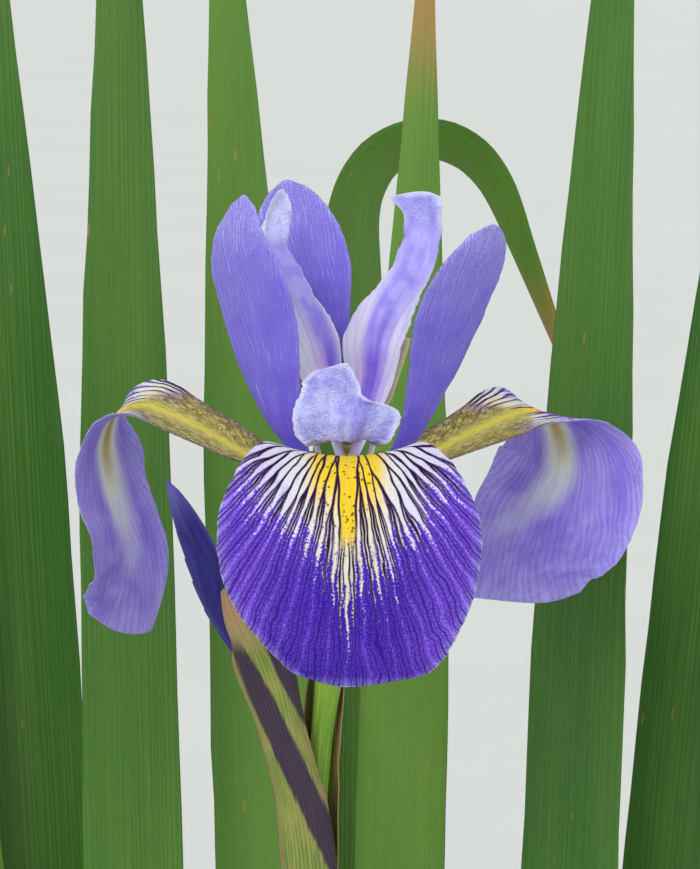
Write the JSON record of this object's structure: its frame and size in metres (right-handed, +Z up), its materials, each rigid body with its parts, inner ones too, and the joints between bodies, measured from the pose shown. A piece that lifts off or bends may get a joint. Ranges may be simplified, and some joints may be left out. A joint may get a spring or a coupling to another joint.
{
  "type": "potted iris plant",
  "caption": "Clump of upright sword leaves in a round tapered pot, with a tall stalk that ends in a bud and an open flower of drooping falls and upright petals.",
  "frame": {"origin": "middle of the pot's flat underside", "axes": "+Z up along the pot's axis and the flower stalk, -Y towards the viewer of the open flower, +X to that viewer's right"},
  "size_m": [0.3303, 0.2075, 0.8033],
  "materials": {
    "pot": "satin black plastic, dusty",
    "soil": "damp peat and bark compost, matt",
    "rhizome": "scaly brown rootstock, matt",
    "leaf": "green with fine parallel veins, satin, flushed purple at the foot",
    "flower_stalk": "green, flushed purple, satin",
    "stalk_leaf": "green with fine parallel veins, satin",
    "ovary_stalk": "bright yellow-green, satin",
    "perianth_tube": "green to violet, satin",
    "style_column": "pale lilac, satin",
    "bud": "dark blue-violet, silky",
    "spathe": "yellow-green and tan with purple bands and margins, papery",
    "fall": "violet with indigo veins, cream wedges and a yellow signal, velvety",
    "standard": "lilac with darker veins, silky",
    "style_arm": "pale lilac with violet midribs and a frosted crest",
    "stamen": "cream, matt"
  },
  "bodies": {
    "root": {"bud": "bud", "fall_front": "fall", "fall_left": "fall", "fall_right": "fall", "flower_stalk": "flower_stalk", "leaf_front_left_1": "leaf", "leaf_front_left_2": "leaf", "leaf_front_left_3": "leaf", "leaf_front_left_4": "leaf", "leaf_front_right_1": "leaf", "leaf_front_right_2": "leaf", "leaf_front_right_3": "leaf", "leaf_front_right_4": "leaf", "leaf_middle_1": "leaf", "leaf_middle_2": "leaf", "leaf_middle_3": "leaf", "leaf_middle_4": "leaf", "leaf_rear_left_1": "leaf", "leaf_rear_left_2": "leaf", "leaf_rear_left_3": "leaf", "leaf_rear_left_4": "leaf", "leaf_rear_left_5": "leaf", "leaf_rear_left_6": "leaf", "leaf_rear_middle_1": "leaf", "leaf_rear_middle_2": "leaf", "leaf_rear_middle_3": "leaf", "leaf_rear_right_1": "leaf", "leaf_rear_right_2": "leaf", "leaf_rear_right_3": "leaf", "leaf_rear_right_4": "leaf", "leaf_rear_right_5": "leaf", "leaf_rear_right_6": "leaf", "ovary_stalk": "ovary_stalk", "perianth_tube": "perianth_tube", "pot": "pot", "rhizome_front_left": "rhizome", "rhizome_front_right": "rhizome", "rhizome_middle": "rhizome", "rhizome_rear_left": "rhizome", "rhizome_rear_middle": "rhizome", "rhizome_rear_right": "rhizome", "soil": "soil", "spathe_valve_front": "spathe", "spathe_valve_rear": "spathe", "stalk_leaf_lower": "stalk_leaf", "stalk_leaf_upper": "stalk_leaf", "stamen_front": "stamen", "stamen_left": "stamen", "stamen_right": "stamen", "standard_left": "standard", "standard_rear": "standard", "standard_right": "standard", "style_arm_front": "style_arm", "style_arm_left": "style_arm", "style_arm_right": "style_arm", "style_column": "style_column"}
  },
  "joints": []
}
